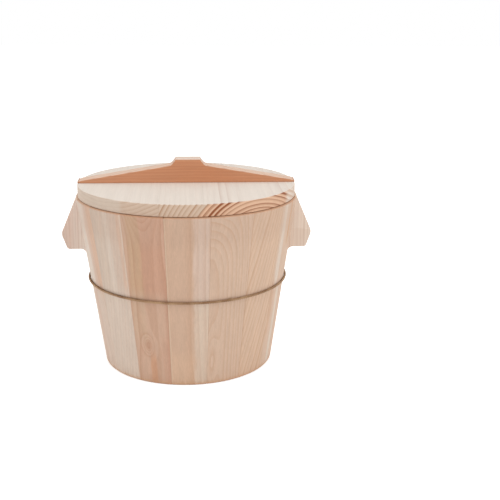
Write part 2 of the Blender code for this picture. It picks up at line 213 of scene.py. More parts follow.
def prism(name, outline, half_width, axes, edge_round=0.0):
    """A flat outline thickened to both sides; axes turns (along, up, across) into the object's x, y, z."""
    bm = bmesh.new()
    faces = []
    for side in (-1, 1):
        verts = [bm.verts.new((p[0], p[1], side * half_width)) for p in outline]
        faces.append(bm.faces.new(verts[::side]))
        if side == -1:
            low = verts
    for j in range(len(low)):
        bm.faces.new((low[j - 1], low[j], verts[j], verts[j - 1]))
    if edge_round:
        rims = {edge for face in faces for edge in face.edges}
        bmesh.ops.bevel(bm, geom=list(rims), offset=edge_round, segments=4, profile=0.5, affect="EDGES")
    bmesh.ops.transform(bm, matrix=axes, verts=bm.verts)
    return mesh_from(bm, name)


# Node helpers


# Sockets of a colour mix, which has one set for each kind of data
MIX_A, MIX_B, MIX_RESULT = 6, 7, 2


class Graph:
    """One material's nodes: each call adds a node and returns its output."""

    def __init__(self, name):
        self.material = bpy.data.materials.new(name)
        self.material.use_nodes = True
        self.tree = self.material.node_tree
        self.shader = self.tree.nodes["Principled BSDF"]

    def feed(self, socket, value):
        if isinstance(value, bpy.types.NodeSocket):
            self.tree.links.new(value, socket)
        elif isinstance(value, tuple) and socket.type == "RGBA":
            socket.default_value = (*value, 1.0)
        else:
            socket.default_value = value

    def node(self, kind, inputs, output=0, **settings):
        node = self.tree.nodes.new(kind)
        for name, value in settings.items():
            setattr(node, name, value)
        for slot, value in inputs.items():
            self.feed(node.inputs[slot], value)
        return node.outputs[output]

    def math(self, operation, a, b=0.0, clamp=False):
        return self.node("ShaderNodeMath", {0: a, 1: b}, operation=operation, use_clamp=clamp)

    def vector(self, operation, a, b=(0.0, 0.0, 0.0), output=0):
        return self.node("ShaderNodeVectorMath", {0: a, 1: b}, output, operation=operation)

    def noise(self, place, scale, detail=2.0, roughness=0.5, output="Fac"):
        inputs = {"Vector": place, "Scale": scale, "Detail": detail, "Roughness": roughness}
        return self.node("ShaderNodeTexNoise", inputs, output)

    def remap(self, value, low, high, to_low=0.0, to_high=1.0, curve="LINEAR"):
        inputs = {"Value": value, "From Min": low, "From Max": high, "To Min": to_low, "To Max": to_high}
        return self.node("ShaderNodeMapRange", inputs, interpolation_type=curve)

    def ramp(self, value, stops):
        node = self.tree.nodes.new("ShaderNodeValToRGB")
        for position, level in stops[2:]:
            node.color_ramp.elements.new(position)
        for element, (position, level) in zip(node.color_ramp.elements, stops):
            element.position = position
            element.color = (level, level, level, 1.0)
        self.feed(node.inputs[0], value)
        return node.outputs[0]

    def mix(self, amount, a, b, blend="MIX"):
        node = self.tree.nodes.new("ShaderNodeMix")
        node.data_type = "RGBA"
        node.blend_type = blend
        self.feed(node.inputs["Factor"], amount)
        self.feed(node.inputs[MIX_A], a)
        self.feed(node.inputs[MIX_B], b)
        return node.outputs[MIX_RESULT]

    def split(self, place):
        node = self.tree.nodes.new("ShaderNodeSeparateXYZ")
        self.feed(node.inputs[0], place)
        return node.outputs

    def join(self, x, y, z):
        return self.node("ShaderNodeCombineXYZ", {0: x, 1: y, 2: z})


# Board axes as rows: where the object's x, y and z lie in (through, across, along the grain)
GRAIN_UP = Matrix(((1, 0, 0), (0, 1, 0), (0, 0, 1)))
GRAIN_ALONG_Y = Matrix(((0, 0, 1), (1, 0, 0), (0, 1, 0)))
GRAIN_ALONG_X = Matrix(((0, 0, 1), (0, -1, 0), (1, 0, 0)))

# One board's wood, lengths in millimetres:
# early, late         tones of a year's pale and dark wood
# blotch              a second pale tone, laid over the first in soft clouds
# pith                where the log's middle lies, (through, across)
# tilt, cone          how far the rings shift, and widen, for each millimetre along the grain
# ring, ring_jitter   a year's width, and how uneven the years are, in years
# wander              how far the rings stray from true circles
# contrast, fibre     strength of the dark rings, and of the fine fibres
# end_*               contrast, tone and amount on cut ends; end_from gives where an end begins, by how
#                     squarely the surface lies across the grain
# sheen_*             a painted sheen, the same for a surface that faces through the board: it is paled as
#                     light glancing off it would pale it
# crown         a second painted sheen tone that takes over from one height to another: (low, high, tone)
# heart               inside a radius round the pith: (radius, end tone, late tone)
# bark                beyond a place across the board: (side, end tone, late tone)
# dark_years          stronger rings near a radius: (radius, half width, gain)
# streaks             bands along the grain: (centre, half width, tone, amount, low end, high end)
# edges               tones along a stave's seams: (side, width, tone, amount)
# foot                a warm darkening up from the foot, partly a tint and partly painted shade: (height, tone, amount)
# knots               (across, along, half width, half height, lift of the rings, darkness of the core)
WOOD = {
    "early": (0.66, 0.47, 0.345),
    "late": (0.50, 0.28, 0.17),
    "blotch": (0.62, 0.47, 0.38),
    "blotch_amount": 0.5,
    "axes": GRAIN_UP,
    "pith": (-60.0, 0.0),
    "tilt": (0.0, 0.0),
    "cone": 0.0,
    "ring": 2.4,
    "ring_jitter": 0.45,
    "wander": 1.6,
    "contrast": 0.5,
    "fibre": 0.13,
    "end_contrast": 1.0,
    "end_tone": (0.50, 0.28, 0.17),
    "end_amount": 0.85,
    "end_from": (0.12, 0.65),
    "sheen_tone": (0.7, 0.6, 0.5),
    "sheen_amount": 0.0,
    "sheen_from": (0.5, 0.95),
    "crown": None,
    "heart": None,
    "bark": None,
    "dark_years": None,
    "streaks": (),
    "edges": (),
    "foot": None,
    "knots": (),
    "roughness": 0.66,
    "seed": 0.0,
}
STREAK_END = 16.0
KNOT_CORE = (0.45, 0.98)
HEART_SOFTNESS = 0.8
BARK_SOFTNESS = 2.5
# How dark a year is from its pale start to its dark end
YEAR_PROFILE = ((0.0, 0.0), (0.35, 0.06), (0.72, 0.55), (0.90, 1.0), (0.97, 0.85), (1.0, 0.0))
YEAR_STRENGTH = (0.5, 1.0)
# Noise in the wood: (stretch along the grain, scale for each millimetre, detail, roughness)
RING_DRIFT = (0.16, 0.035, 3.0, 0.5)
FIBRE_NOISE = (0.022, 1.5, 3.0, 0.65)
BAND_NOISE = (0.035, 0.24, 3.0, 0.6)
CLOUD_NOISE = (0.25, 0.03, 2.0, 0.5)
CLOUD_EDGES = (0.35, 0.7)
FIBRE_BUMP_STRENGTH = 0.35
FIBRE_BUMP_HEIGHT = 0.00012
WOOD_SPECULAR = 0.22


def along_grain(g, place, noise, output="Fac"):
    """A noise drawn out along the grain."""
    stretch, scale, detail, roughness = noise
    return g.noise(g.vector("MULTIPLY", place, (1.0, 1.0, stretch)), scale, detail, roughness, output)


def bumps(g, w, y, z):
    """Where knots push the rings aside: (summed lift, how near the core of a dark knot)."""
    lifted = 0.0
    core = None
    for knot_y, knot_z, half_width, half_height, lift, dark in w["knots"]:
        near = g.vector("SUBTRACT", g.join(0.0, y, z), (0.0, knot_y, knot_z))
        near = g.vector("DIVIDE", near, (1.0, half_width, half_height))
        squared = g.vector("DOT_PRODUCT", near, near, "Value")
        bump = g.math("EXPONENT", g.math("MULTIPLY", squared, -1.0))
        lifted = g.math("ADD", g.math("MULTIPLY", bump, lift), lifted)
        if dark:
            darkness = g.remap(bump, *KNOT_CORE, 0.0, dark, "SMOOTHSTEP")
            core = darkness if core is None else g.math("MAXIMUM", core, darkness)
    return lifted, core


def growth_rings(g, w, place, seeded):
    """Round the pith: latewood lines from 0 to 1, the distance from it, and the dark cores of knots."""
    slow = along_grain(g, seeded, RING_DRIFT, "Color")
    drift = g.vector("MULTIPLY", g.vector("SUBTRACT", slow, (0.5, 0.5, 0.5)), (2 * w["wander"],) * 3)
    x, y, z = g.split(place)
    off_x, off_y, _ = g.split(drift)
    rings_x = g.math("ADD", g.math("ADD", g.math("MULTIPLY", z, w["tilt"][0]), x), off_x)
    rings_y = g.math("ADD", g.math("ADD", g.math("MULTIPLY", z, w["tilt"][1]), y), off_y)
    from_pith = g.vector("SUBTRACT", g.join(rings_x, rings_y, 0.0), (*w["pith"], 0.0))
    distance = g.vector("LENGTH", from_pith, output="Value")
    distance = g.math("ADD", distance, g.math("MULTIPLY", z, w["cone"]))
    lifted, core = bumps(g, w, y, z)
    count = g.math("DIVIDE", g.math("ADD", distance, lifted), w["ring"])
    jitter = g.noise(g.join(g.math("ADD", count, w["seed"] * 13.0), 0.0, 0.0), 0.55, 1.0)
    count = g.math("ADD", count, g.math("MULTIPLY", jitter, 2 * w["ring_jitter"]))
    late = g.ramp(g.math("FRACT", count), YEAR_PROFILE)
    year = g.node("ShaderNodeTexWhiteNoise", {"W": g.math("FLOOR", count)}, "Value", noise_dimensions="1D")
    late = g.math("MULTIPLY", late, g.remap(year, 0.0, 1.0, *YEAR_STRENGTH))
    if w["dark_years"]:
        radius, half_width, gain = w["dark_years"]
        away = g.math("ABSOLUTE", g.math("SUBTRACT", distance, radius))
        late = g.math("MULTIPLY", late, g.remap(away, half_width, 1.3 * half_width, gain, 1.0))
    return late, distance, core


def patches(g, w, colour, place, band):
    """Streaks that run with the grain, among them the painted shade under the rim, tones along a stave's
    seams, and a warm darkening up from its foot, partly painted shade.
    """
    x, y, z = g.split(place)
    sway = g.math("SUBTRACT", band, 0.5)
    for centre, half_width, tone, amount, low, high in w["streaks"]:
        swayed = g.math("ADD", y, g.math("MULTIPLY", sway, half_width))
        away = g.math("ABSOLUTE", g.math("SUBTRACT", swayed, centre))
        inside = g.remap(away, 0.7 * half_width, 1.25 * half_width, amount, 0.0, "SMOOTHSTEP")
        above = g.remap(z, low - STREAK_END, low, curve="SMOOTHSTEP")
        below = g.remap(z, high, high + STREAK_END, 1.0, 0.0, "SMOOTHSTEP")
        colour = g.mix(g.math("MULTIPLY", g.math("MULTIPLY", inside, above), below), colour, tone)
    for side, width, tone, amount in w["edges"]:
        seam = g.math("MULTIPLY", x, math.tan(STAVE_ANGLE / 2))
        from_seam = g.math("SUBTRACT", seam, g.math("MULTIPLY", y, side))
        from_seam = g.math("ADD", from_seam, g.math("MULTIPLY", sway, width))
        colour = g.mix(g.remap(from_seam, 0.4 * width, 1.4 * width, amount, 0.0, "SMOOTHSTEP"), colour, tone)
    # A warm darkening up from the foot: partly a tint, partly painted shade
    if w["foot"]:
        height, tone, amount = w["foot"]
        wavy = g.math("ADD", z, g.math("MULTIPLY", sway, height))
        colour = g.mix(g.remap(wavy, 0.2 * height, height, amount, 0.0, "SMOOTHSTEP"), colour, tone)
    return colour


def wood(name, **changes):
    """Softwood cut from a log: growth rings round a pith line, fibres along the grain, and knots."""
    w = {**WOOD, **changes}
    g = Graph(name)
    coordinates = g.tree.nodes.new("ShaderNodeTexCoord")
    turn = w["axes"].to_euler()
    place = g.node(
        "ShaderNodeMapping",
        {"Vector": coordinates.outputs["Object"], "Rotation": turn, "Scale": (1000.0, 1000.0, 1000.0)},
    )
    through, _, along = g.split(
        g.node("ShaderNodeMapping", {"Vector": coordinates.outputs["Normal"], "Rotation": turn})
    )
    end_grain = g.remap(g.math("ABSOLUTE", along), *w["end_from"], curve="SMOOTHSTEP")
    seeded = g.vector("ADD", place, (w["seed"] * 37.0, w["seed"] * 53.0, w["seed"] * 71.0))
    late, distance, core = growth_rings(g, w, place, seeded)
    gain = g.remap(end_grain, 0.0, 1.0, w["contrast"], max(w["contrast"], w["end_contrast"]))
    late = g.math("MULTIPLY", late, gain, clamp=True)

    fibre = along_grain(g, seeded, FIBRE_NOISE)
    band = along_grain(g, seeded, BAND_NOISE)
    cloud = along_grain(g, seeded, CLOUD_NOISE)

    colour = g.mix(g.remap(cloud, *CLOUD_EDGES, 0.0, w["blotch_amount"]), w["early"], w["blotch"])
    colour = patches(g, w, colour, place, band)
    end_tone, late_tone = w["end_tone"], w["late"]
    if w["heart"]:
        radius, end_tone_inside, late_tone_inside = w["heart"]
        inside = g.remap(distance, radius - HEART_SOFTNESS, radius + HEART_SOFTNESS, 1.0, 0.0, "SMOOTHSTEP")
        end_tone = g.mix(inside, end_tone, end_tone_inside)
        late_tone = g.mix(inside, late_tone, late_tone_inside)
    if w["bark"]:
        side, bark_tone, bark_late = w["bark"]
        across = g.split(place)[1]
        beyond = g.remap(across, side - BARK_SOFTNESS, side + BARK_SOFTNESS, curve="SMOOTHSTEP")
        end_tone = g.mix(beyond, end_tone, bark_tone)
        late_tone = g.mix(beyond, late_tone, bark_late)
    colour = g.mix(g.math("MULTIPLY", end_grain, w["end_amount"]), colour, end_tone)
    # Painted sheen: a surface that faces through the board is paled toward the sheen tone, as light glancing
    # off it would pale it, and near the grip's top the crown sheen is paler still
    if w["sheen_amount"]:
        sheen_tone = w["sheen_tone"]
        if w["crown"]:
            low, high, crown_tone = w["crown"]
            sheen_tone = g.mix(g.remap(g.split(place)[0], low, high), sheen_tone, crown_tone)
        colour = g.mix(g.remap(through, *w["sheen_from"], 0.0, w["sheen_amount"], "SMOOTHSTEP"), colour, sheen_tone)
    colour = g.mix(late, colour, late_tone)
    if core is not None:
        colour = g.mix(core, colour, w["late"])
    light_and_dark = g.math("ADD", g.math("MULTIPLY", fibre, 0.6), g.math("MULTIPLY", band, 0.4))
    level = g.remap(light_and_dark, 0.25, 0.75, 1.0 - w["fibre"], 1.0 + w["fibre"])
    colour = g.mix(1.0, colour, g.join(level, level, level), "MULTIPLY")
    g.feed(g.shader.inputs["Base Color"], colour)

    polish = g.math("ADD", g.math("MULTIPLY", fibre, 0.16), w["roughness"] - 0.08)
    polish = g.math("SUBTRACT", polish, g.math("MULTIPLY", late, 0.08))
    g.feed(g.shader.inputs["Roughness"], polish)
    height = g.math("ADD", g.math("MULTIPLY", fibre, 0.6), g.math("MULTIPLY", late, 0.5))
    bump = g.node(
        "ShaderNodeBump", {"Strength": FIBRE_BUMP_STRENGTH, "Distance": FIBRE_BUMP_HEIGHT, "Height": height}
    )
    g.feed(g.shader.inputs["Normal"], bump)
    g.shader.inputs["Specular IOR Level"].default_value = WOOD_SPECULAR
    return g.material


WIRE_DULL = (0.235, 0.132, 0.07)
WIRE_RUBBED = (0.42, 0.275, 0.16)


def wire(name):
    """Dull brown drawn wire, rubbed brighter here and there."""
    g = Graph(name)
    place = g.tree.nodes.new("ShaderNodeTexCoord").outputs["Object"]
    worn = g.noise(place, 90.0, 3.0, 0.6)
    scratches = g.noise(place, 900.0, 2.0, 0.6)
    colour = g.mix(g.remap(worn, 0.35, 0.68), WIRE_DULL, WIRE_RUBBED)
    g.feed(g.shader.inputs["Base Color"], colour)
    g.shader.inputs["Metallic"].default_value = 0.8
    g.feed(g.shader.inputs["Roughness"], g.remap(scratches, 0.3, 0.7, 0.42, 0.60))
    bump = g.node("ShaderNodeBump", {"Strength": 0.25, "Distance": 0.00005, "Height": scratches})
    g.feed(g.shader.inputs["Normal"], bump)
    return g.material


# Wall


def stave_ring(height, inset):
    """The stave's outline at a height, its x axis through the middle, drawn in by inset for a rounded rim."""
    outer = wall_radius(height) - inset
    inner = wall_radius(height) - WALL + inset
    half = STAVE_ANGLE / 2 - (SEAM_GAP / 2 + inset * 0.25) / outer
    ease_angle = SEAM_EASE_WIDTH / outer
    fine = [half - ease_angle * k / 4 for k in range(4)]
    coarse = [(half - ease_angle) * k / 6 for k in range(6, -1, -1)]
    right = fine + coarse
    angles = [-a for a in right] + right[-2::-1]
    ring = []
    for a in angles:
        near_edge = max(0.0, 1 - (half - abs(a)) / ease_angle)
        r = outer - SEAM_EASE * near_edge ** 2
        ring.append((r * math.cos(a), r * math.sin(a), height))
    for a in reversed(angles):
        ring.append((inner * math.cos(a), inner * math.sin(a), height))
    return ring


def stave_mesh():
    """A stave whose foot and rim are rounded."""
    steps = 5
    turns = [math.pi / 2 * k / steps for k in range(steps + 1)]
    rounded = [(RIM_ROUND * (1 - math.cos(turn)), RIM_ROUND * (1 - math.sin(turn))) for turn in turns]
    foot = [stave_ring(height, inset) for height, inset in rounded]
    middle = [stave_ring(BODY_HEIGHT * k / 10, 0.0) for k in range(1, 10)]
    head = [stave_ring(BODY_HEIGHT - height, inset) for height, inset in reversed(rounded)]
    return loft("stave", foot + middle + head)


def ear_mesh():
    """The ear: a sloping top, a round tip and a flat underside with a cove to the wall."""
    top = BODY_HEIGHT - EAR_BELOW_RIM
    cove_foot = EAR_UNDERSIDE - 2 * EAR_COVE_RADIUS
    corners = [
        (wall_radius(top) - EAR_ROOT_DEPTH, top, 0.0),
        (wall_radius(top) - EAR_BELOW_RIM, top, 0.0),
        (wall_radius(EAR_TIP_HEIGHT) + EAR_REACH, EAR_TIP_HEIGHT, EAR_TIP_ROUND),
        (wall_radius(EAR_UNDERSIDE) + EAR_TOE_REACH, EAR_UNDERSIDE, EAR_TOE_ROUND),
        (wall_radius(EAR_UNDERSIDE) - EAR_SINK, EAR_UNDERSIDE, EAR_COVE_RADIUS),
        (wall_radius(cove_foot) - EAR_SINK, cove_foot, 0.0),
        (wall_radius(cove_foot) - EAR_ROOT_DEPTH, cove_foot, 0.0),
    ]
    upright = Matrix(((1, 0, 0, 0), (0, 0, -1, 0), (0, 1, 0, 0), (0, 0, 0, 1)))
    return prism("ear", rounded_outline(corners, 12), EAR_HALF_WIDTH, upright, EAR_EDGE_ROUND)


PALE = (0.66, 0.52, 0.41)
GREY = (0.62, 0.50, 0.405)
TAN = (0.64, 0.45, 0.33)
DEEP = (0.56, 0.33, 0.225)
SAP = (0.73, 0.62, 0.52)
HONEY = (0.60, 0.29, 0.13)
OLIVE = (0.55, 0.36, 0.225)
# Ends of a streak that runs off the foot or off the rim
FROM_FOOT = -30.0
TO_RIM = 220.0
ALL_UP = (-50.0, 220.0)
WALL_SLOPE = (RIM_RADIUS - BASE_RADIUS) / BODY_HEIGHT
ALONG_WALL = (-WALL_SLOPE, 0.0)
# A warm darkening up from every stave's foot: partly a tint of the wood, partly painted shade
FOOT_TINT_AND_SHADE = (5.0, (0.60, 0.35, 0.19), 0.6)
# Painted shade under the rim of every stave without an ear, as if cast by the lid
RIM_PAINTED_SHADE = (0.0, 40.0, (0.50, 0.34, 0.25), 0.24, 146.0, TO_RIM)

# Looks of the staves that face the camera, by place round the bucket from the right ear
STAVE_LOOKS = {
    # Its front seam gets an orange-brown band, partly the wood's tone and partly painted shade at the ear's
    # root
    0: {"early": (0.745, 0.62, 0.52), "blotch": (0.71, 0.52, 0.40), "pith": (-10.0, 90.0), "ring": 2.6,
        "contrast": 0.36, "edges": ((-1, 3.2, (0.64, 0.38, 0.23), 0.5),), "end_tone": (0.66, 0.49, 0.37)},
    15: {"early": (0.655, 0.47, 0.35), "blotch": PALE, "pith": (-10.0, -90.0), "ring": 2.0, "contrast": 0.36,
         "streaks": ((-12.5, 3.6, (0.70, 0.59, 0.495), 0.9, 92.0, TO_RIM),
                     (-3.5, 3.4, (0.71, 0.62, 0.53), 0.75, FROM_FOOT, 76.0),
                     (1.8, 2.4, (0.62, 0.35, 0.20), 0.7, 134.0, TO_RIM),
                     (-16.0, 3.0, HONEY, 0.25, 40.0, 84.0)),
         "knots": ((3.6, 158.5, 1.2, 3.4, 1.5, 0.7),)},
    14: {"early": (0.65, 0.46, 0.33), "blotch": (0.66, 0.48, 0.36), "pith": (60.0, 70.0),
         "tilt": (-WALL_SLOPE, -0.23), "ring": 4.4, "ring_jitter": 0.8, "contrast": 0.55, "wander": 3.2,
         "edges": ((-1, 0.9, (0.55, 0.34, 0.22), 0.4),)},
    13: {"early": (0.63, 0.45, 0.335), "blotch": (0.63, 0.465, 0.35), "pith": (60.0, -14.0),
         "tilt": ALONG_WALL, "cone": 0.008, "ring": 2.0, "contrast": 0.42, "wander": 1.6,
         "knots": ((-16.0, 184.0, 24.0, 38.0, 13.0, 0.0), (-13.5, 20.0, 6.5, 34.0, 5.0, 0.0))},
    12: {"early": (0.60, 0.405, 0.29), "blotch": (0.59, 0.415, 0.30), "pith": (50.0, -6.0),
         "tilt": ALONG_WALL, "cone": 0.004, "ring": 2.2, "contrast": 0.32, "wander": 1.4,
         "streaks": ((12.5, 7.2, (0.655, 0.505, 0.415), 0.8, 84.0, TO_RIM),
                     (12.5, 7.2, (0.665, 0.53, 0.42), 0.85, FROM_FOOT, 78.0),
                     (-6.0, 12.0, (0.65, 0.445, 0.31), 0.7, FROM_FOOT, 24.0)),
         "edges": ((-1, 1.2, (0.68, 0.53, 0.385), 0.7),)},
    11: {"early": (0.595, 0.395, 0.285), "late": (0.44, 0.22, 0.13), "blotch": (0.59, 0.38, 0.275),
         "pith": (55.0, 2.0), "tilt": ALONG_WALL, "cone": 0.012, "ring": 2.3, "contrast": 0.44, "wander": 2.4,
         "knots": ((-3.2, 39.5, 4.6, 8.5, 9.0, 0.4), (-2.0, 184.0, 15.0, 24.0, -14.0, 0.0)),
         "streaks": ((6.0, 15.0, (0.565, 0.325, 0.225), 0.85, 98.0, TO_RIM),
                     (-9.5, 6.8, OLIVE, 0.75, 98.0, TO_RIM),
                     (-9.5, 6.8, (0.585, 0.41, 0.285), 0.6, 52.0, 84.0),
                     (0.5, 3.0, (0.61, 0.29, 0.15), 0.5, FROM_FOOT, 22.0),
                     (14.0, 4.0, (0.56, 0.33, 0.23), 0.5, FROM_FOOT, 40.0)),
         "edges": ((1, 2.6, (0.57, 0.32, 0.23), 0.45),)},
    10: {"early": GREY, "blotch": (0.62, 0.47, 0.39), "pith": (0.0, 90.0), "ring": 2.8, "contrast": 0.2,
         "streaks": ((1.5, 3.4, (0.68, 0.575, 0.485), 0.65, *ALL_UP),
                     (-17.5, 3.0, (0.575, 0.46, 0.375), 0.75, 84.0, TO_RIM),
                     (12.0, 4.5, (0.635, 0.485, 0.39), 0.5, 84.0, TO_RIM),
                     (18.0, 3.4, (0.66, 0.45, 0.335), 0.7, 84.0, TO_RIM),
                     (0.0, 24.0, (0.67, 0.55, 0.455), 0.8, FROM_FOOT, 84.0)),
         "edges": ((1, 1.6, (0.69, 0.56, 0.46), 0.7),)},
    9: {"early": (0.65, 0.485, 0.385), "blotch": (0.64, 0.46, 0.37), "pith": (-10.0, -80.0), "ring": 2.4,
        "contrast": 0.3, "end_tone": (0.58, 0.37, 0.25),
        "streaks": ((-8.0, 12.0, (0.73, 0.63, 0.54), 0.95, 92.0, TO_RIM),
                    (15.5, 5.0, (0.66, 0.44, 0.315), 0.75, 84.0, TO_RIM),
                    (-14.0, 6.0, SAP, 0.8, FROM_FOOT, 80.0),
                    (12.0, 11.0, (0.665, 0.545, 0.45), 0.7, FROM_FOOT, 76.0))},
    # Its front seam is painted near white: a painted highlight where the ear meets the wall
    8: {"early": (0.69, 0.54, 0.45), "blotch": (0.67, 0.49, 0.41), "pith": (-40.0, -60.0), "ring": 2.6,
        "contrast": 0.36, "edges": ((1, 5.0, (0.80, 0.71, 0.63), 0.9),), "end_tone": (0.66, 0.49, 0.37)},
}


SEEDED_TONES = ((TAN, PALE), (PALE, GREY), (GREY, TAN), (TAN, (0.66, 0.48, 0.36)), (DEEP, TAN))


def stave_look(index):
    """What sets this stave's wood apart; those at the back are drawn from a seeded generator.

    Every stave gets a warm darkening at its foot, partly a tint and partly painted shade, and those without
    an ear get a painted shade under the rim, as if cast by the lid.
    """
    always = {"seed": float(index), "foot": FOOT_TINT_AND_SHADE}
    # Painted shade under the rim, on the staves without an ear
    if index % (STAVE_COUNT // 2):
        always["streaks"] = (*STAVE_LOOKS.get(index, {}).get("streaks", ()), RIM_PAINTED_SHADE)
    if index in STAVE_LOOKS:
        return {**STAVE_LOOKS[index], **always}
    pick = random.Random(100 + index)
    tone, other = pick.choice(SEEDED_TONES)
    flat_sawn = pick.random() < 0.5
    if flat_sawn:
        pith = (pick.uniform(30, 60), pick.uniform(-12, 12))
    else:
        pith = (-10.0, pick.choice((-90.0, 95.0)))
    arch = (pith[1], pick.uniform(175, 200), 22.0, 40.0, pick.choice((-11.0, 12.0)), 0.0)
    return {
        "early": tone, "blotch": other, "pith": pith, "tilt": ALONG_WALL, "cone": 0.01 if flat_sawn else 0.0,
        "ring": pick.uniform(1.8, 2.8), "contrast": pick.uniform(0.3, 0.44), "wander": pick.uniform(1.4, 2.6),
        "knots": (arch,) if flat_sawn else (), **always,
    }


def build_wall():
    plain = stave_mesh()
    with_ear = combined(plain.copy(), ear_mesh(), "UNION")
    left_index = STAVE_COUNT // 2
    ears = {0: "handle_stave_right", left_index: "handle_stave_left"}
    for index in range(STAVE_COUNT):
        node = ears.get(index, f"stave_{index if index < left_index else index - 1:02d}")
        mesh = (with_ear if index in ears else plain).copy()
        shade(mesh)
        stave = add_object(f"{node}_wood", mesh)
        stave.rotation_euler.z = index * STAVE_ANGLE
        mesh.materials.append(wood(f"{node}_wood", **stave_look(index)))
        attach(stave, "bucket")
        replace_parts(stave, node)


def add_wire(name, points, radius, material, closed):
    """A round wire through the points, riding on the bucket."""
    curve = bpy.data.curves.new(name, "CURVE")
    curve.dimensions = "3D"
    curve.bevel_depth = radius
    curve.bevel_resolution = 3
    curve.use_fill_caps = True
    spline = curve.splines.new("POLY")
    spline.points.add(len(points) - 1)
    for slot, point in zip(spline.points, points):
        slot.co = (*point, 1.0)
    spline.use_cyclic_u = closed
    strand = add_object(name, curve)
    strand.data.materials.append(material)
    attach(strand, "bucket")
    return strand


def build_hoop(material):
    """A cable of twisted strands drawn up round the wall, with one strand's end left showing."""
    strand_radius = CABLE_RADIUS / (1 + 1 / math.sin(math.pi / STRAND_COUNT))
    orbit = CABLE_RADIUS - strand_radius
    taper = math.atan2(RIM_RADIUS - BASE_RADIUS, BODY_HEIGHT)
    centre = wall_radius(HOOP_HEIGHT) + (CABLE_RADIUS + 0.0001) / math.cos(taper)
    steps = STRAND_TWISTS * STRAND_STEPS_PER_TWIST
    for number in range(1, STRAND_COUNT + 1):
        points = []
        for k in range(steps):
            around = math.tau * k / steps
            twist = math.tau * (STRAND_TWISTS * k / steps + number / STRAND_COUNT)
            r = centre + orbit * math.cos(twist)
            points.append((r * math.cos(around), r * math.sin(around), HOOP_HEIGHT - orbit * math.sin(twist)))
        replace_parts(add_wire(f"hoop_strand_{number}", points, strand_radius, material, True), "hoop_wire")
    tail = []
    for k in range(9):
        around = TAIL_ANGLE + TAIL_LENGTH / centre * k / 8
        rise = CABLE_RADIUS * (0.5 + 0.75 * math.sin(math.pi * k / 8))
        tail.append((centre * math.cos(around), centre * math.sin(around), HOOP_HEIGHT + rise))
    add_wire("hoop_tail", tail, 0.8 * strand_radius, material, False)


# Lid


def lid_mesh():
    """The whole round lid, turned in one piece before it is divided into boards."""
    plug_bottom = LID_UNDERSIDE - LID_PLUG_DEPTH
    plug_radius = wall_radius(plug_bottom) - WALL - LID_PLUG_CLEARANCE
    corners = [
        (0.0, LID_TOP, 0.0),
        (LID_RADIUS, LID_TOP, LID_EDGE_ROUND),
        (LID_RADIUS, LID_UNDERSIDE, LID_LOWER_EDGE_ROUND),
        (plug_radius, LID_UNDERSIDE, 0.0),
        (plug_radius, plug_bottom, LID_EDGE_ROUND),
        (0.0, plug_bottom, 0.0),
    ]
    profile = rounded_outline(corners, 5)
    segments = 192
    bm = bmesh.new()
    rows = []
    for x, z in profile:
        if x < 1e-9:
            rows.append([bm.verts.new((0.0, 0.0, z))])
            continue
        turns = [math.tau * k / segments for k in range(segments)]
        rows.append([bm.verts.new((x * math.cos(a), x * math.sin(a), z)) for a in turns])
    for row, following in zip(rows, rows[1:]):
        for k in range(segments):
            near = [row[0]] if len(row) == 1 else [row[k - 1], row[k]]
            far = [following[0]] if len(following) == 1 else [following[k], following[k - 1]]
            bm.faces.new(near + far)
    return mesh_from(bm, "lid")


def cut_board(mesh, low, high):
    """The part of the lid between two seams, with its cut sides filled."""
    bm = bmesh.new()
    bm.from_mesh(mesh)
    for x, direction in ((low, -1.0), (high, 1.0)):
        if abs(x) > LID_RADIUS:
            continue
        geometry = bm.verts[:] + bm.edges[:] + bm.faces[:]
        cut = bmesh.ops.bisect_plane(
            bm, geom=geometry, plane_co=(x, 0, 0), plane_no=(direction, 0, 0), clear_outer=True,
        )
        rim = [item for item in cut["geom_cut"] if isinstance(item, bmesh.types.BMEdge)]
        bmesh.ops.holes_fill(bm, edges=rim, sides=0)
    return mesh_from(bm, "lid_board")


def dovetail_mesh(clearance, depth, half_length):
    mouth = GROOVE_MOUTH_WIDTH / 2 - clearance
    flare = (GROOVE_FLOOR_WIDTH - GROOVE_MOUTH_WIDTH) / 2 / GROOVE_DEPTH
    above = 0.002
    outline = [
        (-mouth + flare * above, LID_TOP + above),
        (-mouth - flare * depth, LID_TOP - depth),
        (mouth + flare * depth, LID_TOP - depth),
        (mouth - flare * above, LID_TOP + above),
    ]
    along_x = Matrix(((0, 0, 1, 0), (1, 0, 0, 0), (0, 1, 0, 0), (0, 0, 0, 1)))
    return prism("dovetail", outline, half_length, along_x)


CREAM = (0.66, 0.53, 0.43)
# The lid's top is paled by a painted sheen, the light glancing off it
LID_BOARD = {
    "axes": GRAIN_ALONG_Y, "end_from": (0.15, 0.5), "sheen_tone": (0.705, 0.632, 0.562), "sheen_amount": 0.9,
}
